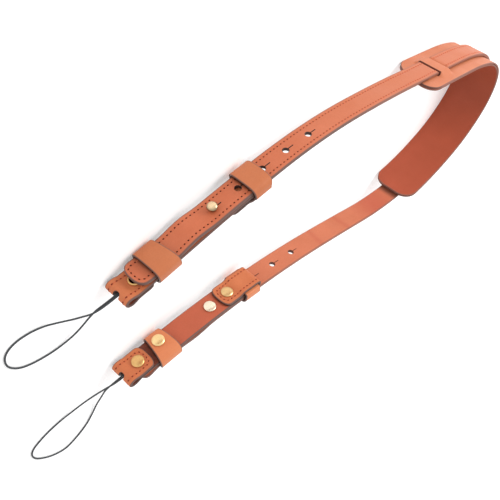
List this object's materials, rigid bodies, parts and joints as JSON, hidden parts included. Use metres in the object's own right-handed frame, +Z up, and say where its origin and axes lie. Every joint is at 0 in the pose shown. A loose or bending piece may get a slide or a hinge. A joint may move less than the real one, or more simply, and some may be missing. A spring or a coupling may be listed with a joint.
{
  "type": "leather camera neck strap",
  "caption": "Leather neck strap for a camera: stitched button-hole strap through a wide shoulder pad, with riveted cord tabs, band keepers and button studs at both ends.",
  "frame": {"origin": "middle of the footprint on the surface that the strap stands on", "axes": "+Z up, along the strap's width; +X from the bend with the shoulder pad to the two free ends; the leg with end a is on the -Y side"},
  "size_m": [0.4792, 0.1744, 0.0392],
  "materials": {
    "strap_leather": "smooth tan-orange leather with burnished dark edges",
    "keeper_leather": "smooth light orange leather",
    "lining_leather": "matt red-brown leather",
    "gold_metal": "polished pale gold",
    "cord_fabric": "thin dark grey cord"
  },
  "bodies": {
    "root": {"main_strap": "strap_leather", "pad_outer": "strap_leather", "pad_lining": "lining_leather", "end_strip_a": "strap_leather", "end_strip_b": "strap_leather", "tip_keeper_a": "keeper_leather", "tip_keeper_b": "keeper_leather", "rear_keeper_a": "keeper_leather", "rear_keeper_b": "keeper_leather", "stud_a": "gold_metal", "stud_b": "gold_metal", "tab_rivet_a": "gold_metal", "tab_rivet_b": "gold_metal", "keeper_rivet_a": "gold_metal", "keeper_rivet_b": "gold_metal", "flap_rivet_a": "gold_metal", "flap_rivet_b": "gold_metal", "cord_a": "cord_fabric", "cord_b": "cord_fabric"}
  },
  "joints": []
}
